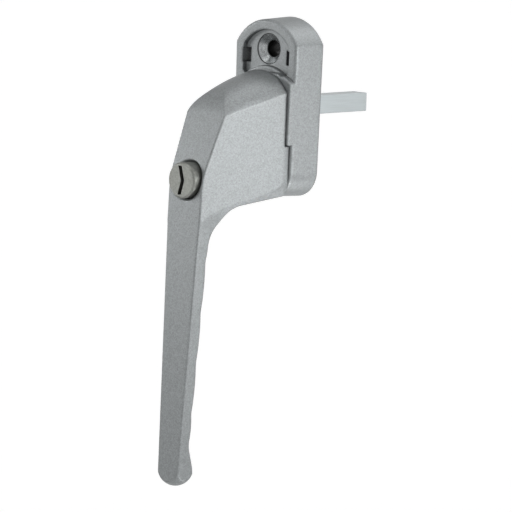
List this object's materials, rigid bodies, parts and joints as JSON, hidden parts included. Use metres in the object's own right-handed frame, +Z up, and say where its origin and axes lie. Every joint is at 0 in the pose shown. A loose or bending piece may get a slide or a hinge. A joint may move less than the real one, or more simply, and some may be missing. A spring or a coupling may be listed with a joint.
{
  "type": "window_handle",
  "caption": "Cranked tilt and turn window handle in silver coat: arched base with screw recess, push lock with keyway in the bend, slim grip with finger rests, square spindle at the back.",
  "frame": {"origin": "On the spindle's axis, midway between the two fixing holes, in the plane of the base's back face.", "axes": "+X right and +Z up as seen from the room, with the grip hanging down; +Y into the window along the spindle."},
  "size_m": [0.0316, 0.1007, 0.1709],
  "materials": {
    "silver_coat": "satin silver powder coat with fine sparkle",
    "nickel": "satin nickel plate",
    "steel": "bright zinc plate",
    "spring_steel": "dark oiled spring steel",
    "zinc": "raw zinc casting",
    "brass": "stamped",
    "nylon": "natural"
  },
  "bodies": {
    "base": {"base_plate": "silver_coat", "hub_bush": "nylon", "thrust_washer": "steel"},
    "lever": {"lever": "silver_coat", "spindle": "steel", "spindle_pin": "spring_steel", "wave_washer": "spring_steel", "backing_washer": "steel", "retaining_ring": "spring_steel", "lock_cover": "steel", "stop_screw": "spring_steel", "return_spring": "spring_steel"},
    "lock_slide": {"bolt_carrier": "zinc", "bolt_pin": "steel"},
    "plug": {"key_plug": "nickel", "tumblers": "brass", "plug_clip": "spring_steel"}
  },
  "joints": [
    {"name": "lever_turn", "type": "hinge", "parent": "base", "child": "lever", "pos_m": [0, 0, 0], "axis": [0, 1, 0], "range_deg": [0, 180]},
    {"name": "lock_push", "type": "slide", "parent": "lever", "child": "lock_slide", "axis": [0, 1, 0], "range_m": [0, 0.002], "stiffness_N_per_m": 1500, "springref_m": -0.003, "deforming": ["return_spring"]},
    {"name": "key_turn", "type": "hinge", "parent": "lock_slide", "child": "plug", "pos_m": [0, -0.05, -0.025], "axis": [0, 1, 0], "range_deg": [0, 90]}
  ]
}
